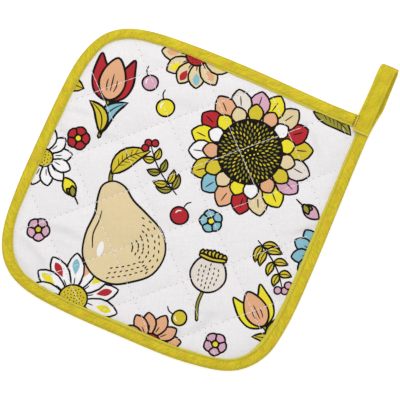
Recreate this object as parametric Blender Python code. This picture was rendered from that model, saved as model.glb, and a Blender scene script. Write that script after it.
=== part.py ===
"""A quilted pot holder with a bound edge and a hanging loop at its one sharp corner.

The pad lies on its back. X runs along the edge that ends at the loop, Y runs the way
the loop points, and Z is up. The origin is on the underside, at the middle of the pad.
The sizes below are in millimetres, and the objects are made in metres.
"""

import math
from collections import namedtuple

import bmesh
import bpy
import numpy as np
from mathutils import Vector
from mathutils.geometry import delaunay_2d_cdt, interpolate_bezier

MM = 0.001

# The bound edge seen from above, anticlockwise from the loop's corner back to it.
# heading is the way the edge runs there, in degrees from +X, and tape is how far the
# binding reaches in over the cloth. Between two rows the edge is one smooth arc.
Station = namedtuple("Station", "name x y heading tape")
OUTLINE = (
    Station("loop corner, start", 109.9, 108.4, 185, 9.3),
    Station("top edge, middle", 12.0, 107.8, 180, 9.3),
    Station("top edge, far end", -47.5, 105.8, 184, 7.9),
    Station("far top corner", -98.9, 84.7, 239, 7.5),
    Station("far edge, upper end", -108.4, 50.0, 266, 8.5),
    Station("far edge, middle", -110.7, -21.0, 269, 8.6),
    Station("far edge, lower end", -109.8, -54.0, 274, 7.6),
    Station("far bottom corner", -93.6, -95.2, 320, 8.7),
    Station("bottom edge, far end", -58.3, -106.6, 355, 8.9),
    Station("bottom edge, middle", 3.0, -108.0, 360, 9.6),
    Station("bottom edge, near end", 55.2, -106.0, 368, 8.9),
    Station("near bottom corner", 92.1, -94.2, 400, 8.9),
    Station("loop side, lower end", 106.8, -69.0, 439, 10.4),
    Station("loop side, middle", 110.2, -13.0, 450, 10.2),
    Station("loop side, upper end", 108.7, 91.0, 450, 9.1),
    Station("loop corner, end", 109.9, 108.4, 443, 9.0),
)
EDGE_STEPS = 120            # sections round the edge
CORNER_BLEND = 24.0         # how far from the sharp corner the mitre fades out
GAP = 0.3                   # clearance between two pieces that touch

# The pad: front, filling and back, quilted into one.
EDGE_THICK = 2.9            # pressed flat inside the binding
SEAM_RISE = 0.5             # how much higher a sewn line lies out in the middle
SEAM_SINK = 0.3             # how much lower it lies on the underside there
PUFF = 1.9                  # height of a puff above the sewn lines round it
PUFF_BELOW = 2.0            # the same on the underside, pressed flat by the table
PUFF_VARIES = 0.14          # share by which one puff differs from the next
EASE_IN = 15.0              # distance from the tape to the full height
EDGE_ROUND = 0.5            # rounding of the pad's cut edge

# The quilting: two families of parallel sewn lines that cross in a diamond grid.
# normal is the direction square to the lines, in degrees from +X, and shift is how far
# along it the middle of the puff nearest the origin lies.
Family = namedtuple("Family", "normal shift")
QUILT_SPACING = 37.6
QUILTING = (Family(-46.7, 0.8), Family(-133.2, 1.6))
QUILT_STEPS = (0.0, 0.06, 0.17, 0.33, 0.5, 0.67, 0.83, 0.94)   # points across one puff
QUILT_REACH = 5             # lines on each side of the middle

# The binding tape.
TAPE_THICK = 1.0            # one leg: the tape and its turned-in edge
EDGE_HEIGHT = 2 * TAPE_THICK + 2 * GAP + EDGE_THICK
END_GAP = 0.25              # each end of the tape keeps clear of the mitre

# The loop: the folded tape's centre line, its width and its thickness.
LOOP_THICK = 1.8
LOOP_TIP_Y = 149.0
LOOP_TURN = 3.25            # radius of the turn, at the middle of the tape
TURN_SPREAD = 0.8           # how much wider the tape is spread at the tip
TURN_ANGLES = (-80, -48, -16, 16, 48, 80)   # round the turn, from below to above
LOOP_STEPS = 3              # sections from one row to the next
Route = namedtuple("Route", "name x y z width thick")
LOOP_LOWER = (
    Route("root, against the binding", 104.6, 108.7, 2.75, 10.9, 4.9),
    Route("the two folds meet", 104.9, 113.5, 1.75, 11.8, 2.5),
    Route("flat on the surface", 105.3, 119.0, 0.5 * LOOP_THICK, 12.2, LOOP_THICK),
    Route("half way", 105.2, 130.0, 0.5 * LOOP_THICK, 12.2, LOOP_THICK),
    Route("before the turn", 104.8, 140.0, 0.5 * LOOP_THICK, 12.2, LOOP_THICK),
)
LOOP_UPPER = (
    Route("after the turn", 102.2, 140.0, 7.45, 12.5, LOOP_THICK),
    Route("half way back", 102.1, 127.0, 7.5, 11.8, LOOP_THICK),
    Route("coming down", 101.9, 114.0, 7.05, 12.2, LOOP_THICK),
    Route("over the corner", 101.75, 106.0, 6.75, 12.2, LOOP_THICK),
    Route("near its end", 101.9, 99.0, 6.7, 12.2, LOOP_THICK),
    Route("tucked end", 102.4, 95.6, 6.7, 12.6, LOOP_THICK),
)

# Colours are linear RGB.
CLOTH_WHITE = (0.80, 0.78, 0.77)
TAPE_YELLOW = (0.68, 0.58, 0.03)


def clear_scene():
    for old in list(bpy.data.objects):
        bpy.data.objects.remove(old, do_unlink=True)


def material(name, colour, roughness):
    made = bpy.data.materials.new(name)
    made.use_nodes = True
    shader = made.node_tree.nodes["Principled BSDF"]
    shader.inputs["Base Color"].default_value = (*colour, 1.0)
    shader.inputs["Roughness"].default_value = roughness
    shader.inputs["Metallic"].default_value = 0.0
    return made


def add_object(name, mesh_builder, finish):
    """One named object from a bmesh in millimetres, with its faces pointing out."""
    bmesh.ops.recalc_face_normals(mesh_builder, faces=mesh_builder.faces)
    bmesh.ops.scale(mesh_builder, vec=(MM, MM, MM), verts=mesh_builder.verts)
    mesh = bpy.data.meshes.new(name)
    mesh_builder.to_mesh(mesh)
    mesh_builder.free()
    mesh.materials.append(finish)
    mesh.shade_smooth()
    made = bpy.data.objects.new(name, mesh)
    bpy.context.scene.collection.objects.link(made)
    return made


def dense_outline():
    """Closely spaced points along the bound edge, with the tape's reach at each."""
    steps = 24
    points = []
    reaches = []
    for here, there in zip(OUTLINE, OUTLINE[1:]):
        start = Vector((here.x, here.y, 0.0))
        end = Vector((there.x, there.y, 0.0))
        turn = math.radians(there.heading - here.heading)
        handle = (end - start).length / 3.0
        if abs(turn) > 1e-6:
            handle *= 2.0 * math.tan(turn / 4.0) / math.sin(turn / 2.0)
        out = Vector((math.cos(math.radians(here.heading)), math.sin(math.radians(here.heading)), 0.0))
        into = Vector((math.cos(math.radians(there.heading)), math.sin(math.radians(there.heading)), 0.0))
        arc = interpolate_bezier(start, start + out * handle, end - into * handle, end, steps + 1)
        ease = 0.5 - 0.5 * np.cos(np.pi * np.arange(steps + 1) / steps)
        last = None if there is OUTLINE[-1] else -1
        points += [(p.x, p.y) for p in arc[:last]]
        reaches += list(here.tape + (there.tape - here.tape) * ease[:last])
    return np.array(points), np.array(reaches)


def edge_sections():
    """Evenly spaced places along the bound edge.

    Gives each one's point, inward direction, forward direction, tape reach and the
    mitre: how far a point set in by 1 mm is shifted forward to meet at the corner.
    """
    points, reaches = dense_outline()
    lengths = np.concatenate(([0.0], np.cumsum(np.linalg.norm(np.diff(points, axis=0), axis=1))))
    at = np.linspace(0.0, lengths[-1], EDGE_STEPS + 1)
    spots = np.column_stack([np.interp(at, lengths, points[:, k]) for k in (0, 1)])
    headings = np.unwrap(np.arctan2(*np.gradient(points, axis=0).T[::-1]))
    heading = np.interp(at, lengths, headings)
    heading[0] = math.radians(OUTLINE[0].heading)
    heading[-1] = math.radians(OUTLINE[-1].heading)
    forward = np.column_stack((np.cos(heading), np.sin(heading)))
    inward = np.column_stack((-forward[:, 1], forward[:, 0]))
    corner_turn = math.radians(OUTLINE[0].heading + 360 - OUTLINE[-1].heading)
    from_corner = np.clip(1.0 - at / CORNER_BLEND, 0.0, 1.0)
    to_corner = np.clip(1.0 - (lengths[-1] - at) / CORNER_BLEND, 0.0, 1.0)
    mitre = math.tan(corner_turn / 2.0) * (from_corner - to_corner)
    return spots, inward, forward, np.interp(at, lengths, reaches), mitre


def set_in(sections, distance):
    """The line that runs inside the bound edge at this distance, one number or many."""
    spots, inward, forward, _, mitre = sections
    distance = np.broadcast_to(distance, len(spots))[:, None]
    return spots + inward * distance + forward * distance * mitre[:, None]


def past_tape(x, y):
    """Distance from the binding's inner edge towards the middle of the pad."""
    points, reaches = dense_outline()
    offset = np.column_stack((x, y))[:, None, :] - points[None, :, :]
    distance = np.linalg.norm(offset, axis=2)
    nearest = distance.argmin(axis=1)
    pick = np.arange(len(nearest))
    ahead = np.roll(points, -1, axis=0) - np.roll(points, 1, axis=0)
    inward = np.column_stack((-ahead[:, 1], ahead[:, 0]))[nearest]
    side = np.sign((offset[pick, nearest] * inward).sum(axis=1))
    return side * distance[pick, nearest] - reaches[nearest]


def quilt_place(x, y):
    """How far across its puff a point lies, both ways: 0 and 1 are sewn lines."""
    places = []
    for family in QUILTING:
        angle = math.radians(family.normal)
        across = x * math.cos(angle) + y * math.sin(angle) - family.shift
        places.append(across / QUILT_SPACING + 0.5)
    return places


def puff_shape(x, y):
    """0 on every sewn line and about 1 at the middle of a puff."""
    height = 1.0
    for place in quilt_place(x, y):
        cell = np.floor(place)
        swell = 1.0 - (1.0 - np.sin(np.pi * (place - cell))) ** 1.6
        height = height * swell * (1.0 + PUFF_VARIES * np.sin(2.4 * cell + 1.1) * swell)
    return height


def ease_in(depth):
    """From 0 where the cloth goes under the tape to 1 out in the middle."""
    share = np.clip((depth - GAP) / EASE_IN, 0.0, 1.0)
    return 1.0 - (1.0 - share) ** 2.2


def pad_heights(x, y):
    """Height of the pad's face and of its underside at each point."""
    low = TAPE_THICK + GAP
    ease = ease_in(past_tape(x, y))
    puff = puff_shape(x, y)
    top = low + EDGE_THICK + ease * (SEAM_RISE + PUFF * puff)
    under = low - ease * (SEAM_SINK + PUFF_BELOW * puff)
    return top, np.maximum(under, 0.0)


def quilt_grid():
    """Points of the diamond grid and the sewn lines' edges between neighbours."""
    angles = np.radians([family.normal for family in QUILTING])
    shifts = np.array([family.shift for family in QUILTING])
    to_place = np.column_stack((np.cos(angles), np.sin(angles))) / QUILT_SPACING
    to_point = np.linalg.inv(to_place)
    ticks = [cell + step for cell in range(-QUILT_REACH, QUILT_REACH + 1) for step in QUILT_STEPS]
    sewn = len(QUILT_STEPS)
    places = np.array([(a, b) for a in ticks for b in ticks])
    points = (places - 0.5 + shifts / QUILT_SPACING) @ to_point.T
    index = np.arange(len(points)).reshape(len(ticks), len(ticks))
    edges = []
    for line in range(0, len(ticks), sewn):
        edges += list(zip(index[line, :-1], index[line, 1:]))
        edges += list(zip(index[:-1, line], index[1:, line]))
    return points, edges


def pad_plan(sections):
    """The flat net of the pad's face: rings along the edge, the quilting's grid inside."""
    reach = sections[3]
    rings = [
        set_in(sections, TAPE_THICK + GAP + EDGE_ROUND)[:-1],
        set_in(sections, reach + GAP)[:-1],
        set_in(sections, reach + 3.2)[:-1],
    ]
    grid, sewn_edges = quilt_grid()
    inside = past_tape(grid[:, 0], grid[:, 1]) > 5.6
    place = np.cumsum(inside) - 1 + EDGE_STEPS * len(rings)
    points = np.vstack(rings + [grid[inside]])
    edges = []
    for ring in range(len(rings)):
        first = ring * EDGE_STEPS
        edges += [(first + k, first + (k + 1) % EDGE_STEPS) for k in range(EDGE_STEPS)]
    edges += [(int(place[a]), int(place[b])) for a, b in sewn_edges if inside[a] and inside[b]]
    coords, _, faces, _, _, _ = delaunay_2d_cdt([Vector(p) for p in points], edges, [], 1, 1e-5)
    return np.array([(c.x, c.y) for c in coords]), faces


def build_pad(sections, finish):
    plan, faces = pad_plan(sections)
    top, under = pad_heights(plan[:, 0], plan[:, 1])
    shape = bmesh.new()
    upper = [shape.verts.new((x, y, z)) for (x, y), z in zip(plan, top)]
    lower = [shape.verts.new((x, y, z)) for (x, y), z in zip(plan, under)]
    for face in faces:
        shape.faces.new([upper[k] for k in face])
        shape.faces.new([lower[k] for k in reversed(face)])
    middle = TAPE_THICK + GAP + 0.5 * EDGE_THICK
    rim = [shape.verts.new((x, y, middle)) for x, y in set_in(sections, TAPE_THICK + GAP)[:-1]]
    for k in range(EDGE_STEPS):
        after = (k + 1) % EDGE_STEPS
        shape.faces.new((upper[k], upper[after], rim[after], rim[k]))
        shape.faces.new((rim[k], rim[after], lower[after], lower[k]))
    bmesh.ops.triangulate(shape, faces=[f for f in shape.faces if len(f.verts) > 3])
    return add_object("quilted_pad", shape, finish)


def tape_section(reach):
    """The binding's cross-section: distance in from the edge, and height."""
    high = EDGE_HEIGHT
    leg = TAPE_THICK
    outside = [
        (reach, high - leg), (reach, high - 0.4), (reach - 0.6, high - 0.05),
        (2.4, high), (1.0, high - 0.6), (0.2, high - 1.7), (0.0, 0.5 * high),
        (0.2, 1.7), (1.0, 0.5), (2.2, 0.0), (reach - 0.5, 0.0), (reach, 0.4),
    ]
    channel = [
        (reach, leg), (leg + 0.5, leg), (leg, leg + 0.7), (leg, high - leg - 0.7),
        (leg + 0.5, high - leg),
    ]
    return outside + channel


def bridge_sections(shape, rows):
    """Skin a run of closed sections, each a list of vertices, and cap both ends."""
    for one, two in zip(rows, rows[1:]):
        for k in range(len(one)):
            after = (k + 1) % len(one)
            shape.faces.new((one[k], one[after], two[after], two[k]))
    caps = [shape.faces.new(rows[0]), shape.faces.new(list(reversed(rows[-1])))]
    bmesh.ops.triangulate(shape, faces=caps)
    bmesh.ops.triangulate(shape, faces=[f for f in shape.faces if len(f.verts) > 3])


def build_binding(sections, finish):
    spots, inward, forward, reaches, mitre = sections
    shape = bmesh.new()
    rows = []
    for k, reach in enumerate(reaches):
        trim = END_GAP if k == 0 else -END_GAP if k == len(reaches) - 1 else 0.0
        row = []
        for distance, height in tape_section(reach):
            along = distance * mitre[k] + trim
            x, y = spots[k] + inward[k] * distance + forward[k] * along
            row.append(shape.verts.new((x, y, height)))
        rows.append(row)
    bridge_sections(shape, rows)
    return add_object("edge_binding", shape, finish)


def loop_line():
    """The loop's centre line: lower layer, round turn, upper layer back to its end."""
    lower, upper = LOOP_LOWER[-1], LOOP_UPPER[0]
    centre_y = LOOP_TIP_Y - 0.5 * LOOP_THICK - LOOP_TURN
    centre_z = 0.5 * LOOP_THICK + LOOP_TURN
    turn = []
    for angle in TURN_ANGLES:
        share = (angle + 90) / 180
        turn.append((
            lower.x + (upper.x - lower.x) * share,
            centre_y + LOOP_TURN * math.cos(math.radians(angle)),
            centre_z + LOOP_TURN * math.sin(math.radians(angle)),
            lower.width + TURN_SPREAD * math.cos(math.radians(angle)), LOOP_THICK,
        ))
    rows = np.array([r[1:] for r in LOOP_LOWER] + turn + [r[1:] for r in LOOP_UPPER])
    line = smooth_rows(rows, LOOP_STEPS)
    line[:, 2] = np.maximum(line[:, 2], 0.5 * line[:, 4])
    return line


def smooth_rows(rows, steps):
    """A smooth run through the rows, with this many sections from one to the next."""
    padded = np.vstack((2 * rows[0] - rows[1], rows, 2 * rows[-1] - rows[-2]))
    fine = []
    for a, b, c, d in zip(padded, padded[1:], padded[2:], padded[3:]):
        for t in np.linspace(0.0, 1.0, steps, endpoint=False):
            fine.append(0.5 * (2 * b + (c - a) * t + (2 * a - 5 * b + 4 * c - d) * t ** 2
                               + (3 * b - a - 3 * c + d) * t ** 3))
    return np.array(fine + [rows[-1]])


def strip_section(width, thick):
    """A flat strip's cross-section with eased corners: across, and up from the middle."""
    wide, high, ease = 0.5 * width, 0.5 * thick, 0.4
    return [
        (-wide, -high + ease), (-wide + ease, -high), (wide - ease, -high), (wide, -high + ease),
        (wide, high - ease), (wide - ease, high), (-wide + ease, high), (-wide, high - ease),
    ]


def build_loop(finish):
    line = loop_line()
    ahead = np.gradient(line[:, 1:3], axis=0)
    ahead /= np.linalg.norm(ahead, axis=1)[:, None]
    ahead[0] = (1.0, 0.0)
    ahead[-1] = (-1.0, 0.0)
    shape = bmesh.new()
    rows = []
    for (x, y, z, width, thick), (run_y, run_z) in zip(line, ahead):
        row = []
        for across, up in strip_section(width, thick):
            row.append(shape.verts.new((x + across, y - run_z * up, z + run_y * up)))
        rows.append(row)
    bridge_sections(shape, rows)
    return add_object("hanging_loop", shape, finish)


def main():
    clear_scene()
    sections = edge_sections()
    build_pad(sections, material("quilted_cotton", CLOTH_WHITE, 0.9))
    build_binding(sections, material("binding_tape", TAPE_YELLOW, 0.85))
    build_loop(material("loop_tape", TAPE_YELLOW, 0.85))


main()
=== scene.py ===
"""The finished look of a quilted pot holder: printed front, plain back, bound edge, loop and sewing.

Lengths are in millimetres until a mesh is made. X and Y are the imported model's own axes, Z is up, and
the pad lies on the floor at Z = 0. The print is drawn upright in the picture, and its axes are turned
by PRINT_TURN from the pad's.
"""

import math
import random
from collections import namedtuple

import bpy
import numpy as np
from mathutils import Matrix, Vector
from mathutils.geometry import delaunay_2d_cdt, interpolate_bezier
from mathutils.kdtree import KDTree


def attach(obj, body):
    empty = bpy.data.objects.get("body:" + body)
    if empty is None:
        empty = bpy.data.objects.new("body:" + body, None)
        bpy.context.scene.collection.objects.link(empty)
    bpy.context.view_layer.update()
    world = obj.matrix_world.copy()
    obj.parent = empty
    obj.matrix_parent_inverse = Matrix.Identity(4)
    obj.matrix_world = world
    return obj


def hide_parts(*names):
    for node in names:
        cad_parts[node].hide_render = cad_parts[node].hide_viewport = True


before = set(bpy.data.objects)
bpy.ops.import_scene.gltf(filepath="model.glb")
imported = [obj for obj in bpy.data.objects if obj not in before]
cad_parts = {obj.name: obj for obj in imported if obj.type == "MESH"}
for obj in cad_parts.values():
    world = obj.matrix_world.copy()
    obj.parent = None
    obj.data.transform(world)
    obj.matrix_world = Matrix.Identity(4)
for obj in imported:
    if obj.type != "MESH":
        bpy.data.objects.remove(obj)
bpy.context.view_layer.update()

MM = 0.001
BODY = "root"

# ------------ sizes, as in the solids

Station = namedtuple("Station", "name x y heading tape")
OUTLINE = [Station(*row) for row in (
    ("loop corner, start", 109.9, 108.4, 185, 9.3),
    ("top edge, middle", 12.0, 107.8, 180, 9.3),
    ("top edge, far end", -47.5, 105.8, 184, 7.9),
    ("far top corner", -98.9, 84.7, 239, 7.5),
    ("far edge, upper end", -108.4, 50.0, 266, 8.5),
    ("far edge, middle", -110.7, -21.0, 269, 8.6),
    ("far edge, lower end", -109.8, -54.0, 274, 7.6),
    ("far bottom corner", -93.6, -95.2, 320, 8.7),
    ("bottom edge, far end", -58.3, -106.6, 355, 8.9),
    ("bottom edge, middle", 3.0, -108.0, 360, 9.6),
    ("bottom edge, near end", 55.2, -106.0, 368, 8.9),
    ("near bottom corner", 92.1, -94.2, 400, 8.9),
    ("loop side, lower end", 106.8, -69.0, 439, 10.4),
    ("loop side, middle", 110.2, -13.0, 450, 10.2),
    ("loop side, upper end", 108.7, 91.0, 450, 9.1),
    ("loop corner, end", 109.9, 108.4, 443, 9.0),
)]
CORNER_BLEND = 24.0  # how far from the sharp corner the mitre fades out
GAP = 0.3  # clearance between two pieces that touch

EDGE_THICK = 2.9  # the pad, pressed flat inside the binding
SEAM_RISE = 0.5  # how much higher a sewn line lies out in the middle
SEAM_SINK = 0.3  # how much lower it lies on the underside there
PUFF = 1.9  # height of a puff above the sewn lines round it
PUFF_BELOW = 2.0  # the same on the underside
PUFF_VARIES = 0.14  # share by which one puff differs from the next
EASE_IN = 15.0  # distance from the tape to the full height

Family = namedtuple("Family", "normal shift")
QUILT_SPACING = 37.6
QUILTING = (Family(-46.7, 0.8), Family(-133.2, 1.6))
QUILT_REACH = 5  # sewn lines on each side of the middle

TAPE_THICK = 1.0  # one leg of the binding
EDGE_HEIGHT = 2 * TAPE_THICK + 2 * GAP + EDGE_THICK
MITRE_GAP = 0.04  # each end of the tape keeps clear of the mitre

LOOP_THICK = 1.8
LOOP_TIP_Y = 149.0
LOOP_TURN = 3.25  # radius of the turn, at the middle of the tape
TURN_SPREAD = 0.8  # how much wider the tape is spread at the tip
TURN_ANGLES = (-80, -48, -16, 16, 48, 80)
Route = namedtuple("Route", "name x y z width thick")
LOOP_LOWER = (
    Route("root, against the binding", 104.6, 108.7, 2.75, 10.9, 4.9),
    Route("the two folds meet", 104.9, 113.5, 1.75, 11.8, 2.5),
    Route("flat on the surface", 105.3, 119.0, 0.5 * LOOP_THICK, 12.2, LOOP_THICK),
    Route("half way", 105.2, 130.0, 0.5 * LOOP_THICK, 12.2, LOOP_THICK),
    Route("before the turn", 104.8, 140.0, 0.5 * LOOP_THICK, 12.2, LOOP_THICK),
)
LOOP_UPPER = (
    Route("after the turn", 102.2, 140.0, 7.45, 12.5, LOOP_THICK),
    Route("half way back", 102.1, 127.0, 7.5, 11.8, LOOP_THICK),
    Route("coming down", 101.9, 114.0, 7.05, 12.2, LOOP_THICK),
    Route("over the corner", 101.75, 106.0, 6.75, 12.2, LOOP_THICK),
    Route("near its end", 101.9, 99.0, 6.7, 12.2, LOOP_THICK),
    Route("tucked end", 102.4, 95.6, 6.7, 12.6, LOOP_THICK),
)

# ------------ sizes of the fine surface

PRINT_TURN = 23.3  # degrees from the pad's X to the print's own X
GRID = 2.0  # net of the cloth away from seams and print
GRID_REACH = 112.0  # how far the net goes from the middle before it is cut
NET_CLEAR = 0.45  # a net point this near a drawn line is left out
STITCH = 4.4  # length of one quilting stitch
STITCH_GAP = 0.55  # of which this much is down in the needle holes
THREAD = 0.18  # radius of the sewing thread
NIP = 0.07  # depth of the narrow crease that the thread pulls in
NIP_WIDTH = 0.8
HOLE = 0.27  # radius of a needle hole's painted shade dot
CREVICE = 0.8  # width of the line of cloth beside the tape that is painted lighter, to lift the shade there
SEAM_ROWS = (-2.3, -1.2, -0.55, 0.0, 0.55, 1.2, 2.3)  # rows of net points along a seam
SEAM_TICKS = 140  # points of a row each way from its middle, four to a stitch
PUCKER = 0.11  # height of the small gathers beside a sewn line
PUCKER_REACH = 3.6
PUCKER_SPACING = 7.3
UNEVEN = 0.10  # height of the cloth's slight unevenness
FLOOR_TOUCH = 0.04  # the pressed puffs of the underside stay this far above the floor
FLOOR_BLEND = 0.02  # softens the edge of what is pressed, in square millimetres

# Soft troughs and ridges in the front: the middle in the print's own
# axes, the way they run, half their length and width, and their height.
Crease = namedtuple("Crease", "x y degrees length width height")
CREASES = [Crease(*row) for row in (
    (-70.8, 62.5, 162, 10, 2.4, -0.80),
    (-66, 57, 162, 12, 2.2, 0.45),
    (-53, 45.5, 172, 9, 2.8, -0.85),
    (-83, 49, 117, 6, 2.2, -0.60),
    (104, 48, 122, 9, 2.2, 0.95),
    (99, 41, 110, 13, 2.4, -1.05),
    (82.5, 65.5, 112, 9, 2.4, -1.00),
    (88, 62, 107, 9, 2.4, 0.45),
    (-108, -34, 138, 14, 2.8, -0.95),
    (-112, -44, 128, 11, 2.4, 0.70),
    (-98, -46, 118, 9, 2.6, -0.60),
    (-83, -23.5, 161, 17, 3.4, -1.15),
    (-80, -31, 155, 10, 2.8, 0.50),
    (-53, -77, 103, 12, 3.2, -1.25),
    (-61, -76, 98, 10, 2.4, 0.55),
    (-54, -64, 144, 7, 2.4, -0.75),
    (-69, -72, 131, 8, 2.0, -0.75),
    (-0.5, -97, 84, 9, 2.4, -0.95),
    (17.5, -92, 40, 11, 3.0, -1.00),
    (27, -93, 40, 9, 2.4, 0.50),
    (22, -84, 172, 13, 2.6, -0.45),
    (24, -104, 76, 8, 2.2, -0.85),
    (34, -102, 84, 8, 2.2, 0.45),
    (92.5, -23, 20, 10, 2.0, -1.15),
    (86, -40, 150, 14, 3.2, -0.45),
    (73, -71, 150, 8, 2.4, -0.60),
    (4, 68, 158, 16, 3.2, -0.45),
    (38, -6, 40, 18, 4.0, 0.35),
)]
TROUGH_PAINTED_SHADE = 0.085  # painted shade: share of its colour that the cloth loses for each mm of a trough
CREASE_BEND = 0.012  # how strongly each crease curves


# ------------ small helpers

def clamp(value, low, high):
    return np.minimum(np.maximum(value, low), high)


def bell(distance, width):
    """A soft hump: 1 at no distance, and almost 0 at twice the width."""
    return np.exp(-(distance / width) ** 2)


def at_holes(along, stitch):
    """1 at each needle hole of a sewn line and 0 half way between two."""
    return 0.5 + 0.5 * np.cos(2 * np.pi * along / stitch)


def unit(vectors):
    """The same vectors with a length of 1."""
    return vectors / np.linalg.norm(vectors, axis=-1, keepdims=True)


def lengths_along(points):
    """How far along a line each of its points lies."""
    return np.concatenate(([0.0], np.cumsum(np.linalg.norm(np.diff(points, axis=0), axis=1))))


def directions(degrees):
    """The unit vector at this angle from X, and the one square to it on its left."""
    angle = math.radians(degrees)
    return np.array((math.cos(angle), math.sin(angle))), np.array((-math.sin(angle), math.cos(angle)))


def turned(points, degrees, scale=1.0):
    """Flat points turned anticlockwise about the middle, and scaled."""
    across, up = directions(degrees)
    points = np.asarray(points, float) * scale
    return points[:, :1] * across + points[:, 1:] * up


def turn_to_pad(points):
    """From the print's own axes to the pad's."""
    return turned(points, PRINT_TURN)


def point_tree(points):
    """A search tree of flat points."""
    tree = KDTree(len(points))
    for number, (x, y) in enumerate(points):
        tree.insert((x, y, 0.0), number)
    tree.balance()
    return tree


def nearest(tree, points):
    """The number of the tree's point that is nearest to each point, and how far off it is."""
    found = [tree.find((x, y, 0.0)) for x, y in points]
    return np.array([hit[1] for hit in found]), np.array([hit[2] for hit in found])


def inside_ring(ring, points):
    """Which points lie inside a ring, by counting the edges to their right."""
    x, y = points.T
    inside = np.zeros(len(points), bool)
    for (x1, y1), (x2, y2) in zip(ring, np.roll(ring, -1, axis=0)):
        crosses = (y1 > y) != (y2 > y)
        if crosses.any():
            inside ^= crosses & (x < (x2 - x1) * (y - y1) / ((y2 - y1) or 1e-12) + x1)
    return inside


# ------------ the bound edge

def dense_outline(steps=60):
    """Closely spaced points along the bound edge, with the tape's reach at each."""
    points = []
    reaches = []
    ease = 0.5 - 0.5 * np.cos(np.pi * np.arange(steps + 1) / steps)
    for here, there in zip(OUTLINE, OUTLINE[1:]):
        start, end = (Vector((station.x, station.y, 0.0)) for station in (here, there))
        out, into = (Vector((*directions(station.heading)[0], 0.0)) for station in (here, there))
        turn = math.radians(there.heading - here.heading)
        handle = (end - start).length / 3.0
        if abs(turn) > 1e-6:
            handle *= 2.0 * math.tan(turn / 4.0) / math.sin(turn / 2.0)
        arc = interpolate_bezier(start, start + out * handle, end - into * handle, end, steps + 1)
        last = None if there is OUTLINE[-1] else -1
        points += [(p.x, p.y) for p in arc[:last]]
        reaches += list(here.tape + (there.tape - here.tape) * ease[:last])
    return np.array(points), np.array(reaches)


EDGE_POINTS, EDGE_REACH = dense_outline()
EDGE_LENGTHS = lengths_along(EDGE_POINTS)
EDGE_LENGTH = float(EDGE_LENGTHS[-1])
EDGE_HEADINGS = np.unwrap(np.arctan2(*np.gradient(EDGE_POINTS, axis=0).T[::-1]))
EDGE_TREE = point_tree(EDGE_POINTS)

Places = namedtuple("Places", "spots inward forward reach mitre")


def edge_places(along):
    """Point, inward and forward direction, tape reach and mitre at each length along the edge."""
    spots = np.column_stack([np.interp(along, EDGE_LENGTHS, EDGE_POINTS[:, k]) for k in (0, 1)])
    heading = np.interp(along, EDGE_LENGTHS, EDGE_HEADINGS)
    forward = np.column_stack((np.cos(heading), np.sin(heading)))
    inward = np.column_stack((-forward[:, 1], forward[:, 0]))
    corner_turn = math.radians(OUTLINE[0].heading + 360 - OUTLINE[-1].heading)
    from_corner = clamp(1.0 - along / CORNER_BLEND, 0.0, 1.0)
    to_corner = clamp(1.0 - (EDGE_LENGTH - along) / CORNER_BLEND, 0.0, 1.0)
    mitre = math.tan(corner_turn / 2.0) * (from_corner - to_corner)
    reach = np.interp(along, EDGE_LENGTHS, EDGE_REACH)
    return Places(spots, inward, forward, reach, mitre)


def set_in(places, distance):
    """The points at this distance inside the bound edge, one number or many."""
    distance = np.broadcast_to(distance, len(places.spots))[:, None]
    return places.spots + places.inward * distance + places.forward * distance * places.mitre[:, None]


def past_tape(x, y):
    """Distance from the binding's inner edge towards the middle of the pad."""
    points = np.column_stack((x, y))
    number, distance = nearest(EDGE_TREE, points)
    side = np.where(inside_ring(EDGE_POINTS, points), 1.0, -1.0)
    return side * distance - EDGE_REACH[number]


# ------------ the quilted relief

def seams():
    """Each sewn line's distance from the middle, the way square to it and the way it runs."""
    for family in QUILTING:
        across, along = directions(family.normal)
        for line in range(-QUILT_REACH, QUILT_REACH + 1):
            yield (line - 0.5) * QUILT_SPACING + family.shift, across, along


def across_and_along(family, x, y):
    """Distance square to a family's sewn lines and along them."""
    square, running = directions(family.normal)
    across = x * square[0] + y * square[1] - family.shift
    along = x * running[0] + y * running[1]
    return across, along


def nearest_seam(family, x, y):
    """The number of the family's nearest sewn line, and the distances past it and along it."""
    across, along = across_and_along(family, x, y)
    place = across / QUILT_SPACING + 0.5
    line = np.round(place)
    return line, (place - line) * QUILT_SPACING, along


def puff_shape(x, y):
    """0 on every sewn line and about 1 at the middle of a puff."""
    height = 1.0
    for family in QUILTING:
        place = across_and_along(family, x, y)[0] / QUILT_SPACING + 0.5
        cell = np.floor(place)
        swell = 1.0 - (1.0 - np.sin(np.pi * (place - cell))) ** 1.6
        height = height * swell * (1.0 + PUFF_VARIES * np.sin(2.4 * cell + 1.1) * swell)
    return height


def seam_marks(x, y):
    """The narrow crease under the thread, and the gathers beside it."""
    marks = 0.0
    for number, family in enumerate(QUILTING):
        line, off, along = nearest_seam(family, x, y)
        nip = bell(off, NIP_WIDTH)
        marks = marks - NIP * nip * (0.65 + 0.35 * at_holes(along, STITCH))
        wander = 1.9 * np.sin(along / 17.0 + 2.1 * line + number) + np.sign(off) * 0.8
        ripple = np.sin(2 * np.pi * along / PUCKER_SPACING + wander + 4.0 * np.sin(along / 41.0 + line))
        marks = marks + PUCKER * ripple * (1 - nip) * np.exp(-np.abs(off) / PUCKER_REACH)
    return marks


def crease_waves(x, y):
    """Each crease's height, and the share of it that each point has."""
    for crease in CREASES:
        (cx, cy), = turn_to_pad([(crease.x, crease.y)])
        run, side = directions(crease.degrees + PRINT_TURN)
        along = (x - cx) * run[0] + (y - cy) * run[1]
        across = (x - cx) * side[0] + (y - cy) * side[1] - CREASE_BEND * along ** 2
        yield crease.height, np.exp(-(across / crease.width) ** 2 - (along / crease.length) ** 2)


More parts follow.
